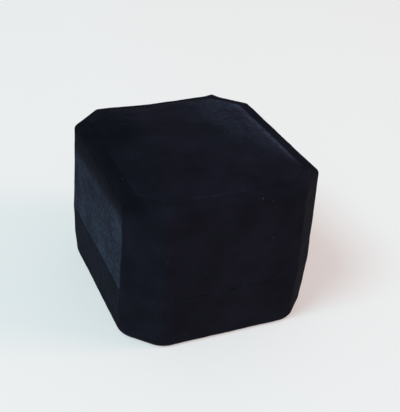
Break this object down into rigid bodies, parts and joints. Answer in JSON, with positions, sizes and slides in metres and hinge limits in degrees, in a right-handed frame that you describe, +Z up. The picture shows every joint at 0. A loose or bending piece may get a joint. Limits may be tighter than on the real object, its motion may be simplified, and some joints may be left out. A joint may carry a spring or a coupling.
{
  "type": "hinged ring box",
  "caption": "Cut-corner velvet ring box: a tall lid with a padded top hinged to a low base that holds a ring cushion with a slot.",
  "frame": {"origin": "middle of the underside, on the surface that the box stands on", "axes": "+Z up, the front that opens faces -Y, the hinge is at +Y, and +X is to the right seen from the front"},
  "size_m": [0.052, 0.057, 0.0422],
  "materials": {
    "velvet": "short-pile near-black navy velvet",
    "satin": "smooth navy satin",
    "suede_paper": "black suede-finish paper on card",
    "moulded_shell": "plain injection moulding",
    "card": "grey-brown board",
    "foam": "open-cell foam",
    "steel": "bright rolled spring steel"
  },
  "bodies": {
    "base": {"bottom_cover": "suede_paper", "base_shell": "moulded_shell", "base_velvet": "velvet", "collar_board": "card", "collar_velvet": "velvet", "cushion_tray": "suede_paper", "roll_velvet_front": "velvet", "roll_foam_front": "foam", "roll_velvet_back": "velvet", "roll_foam_back": "foam", "hinge_leaf_base": "steel", "hinge_pin": "steel", "snap_spring": "steel", "hinge_cover": "velvet", "rivet_base_left": "steel", "rivet_base_right": "steel"},
    "lid": {"lid_shell": "moulded_shell", "lid_velvet": "velvet", "top_panel_card": "card", "top_panel_foam": "foam", "top_panel_velvet": "velvet", "lid_lining_card": "card", "lid_lining_foam": "foam", "lid_lining_satin": "satin", "lid_lining_strip": "satin", "hinge_leaf_lid": "steel", "rivet_lid_left": "steel", "rivet_lid_right": "steel"}
  },
  "joints": [
    {"name": "lid_hinge", "type": "hinge", "parent": "base", "child": "lid", "pos_m": [0, 0.027, 0.0145], "axis": [-1, 0, 0], "range_deg": [0, 95], "deforming": ["snap_spring", "hinge_cover"]}
  ]
}
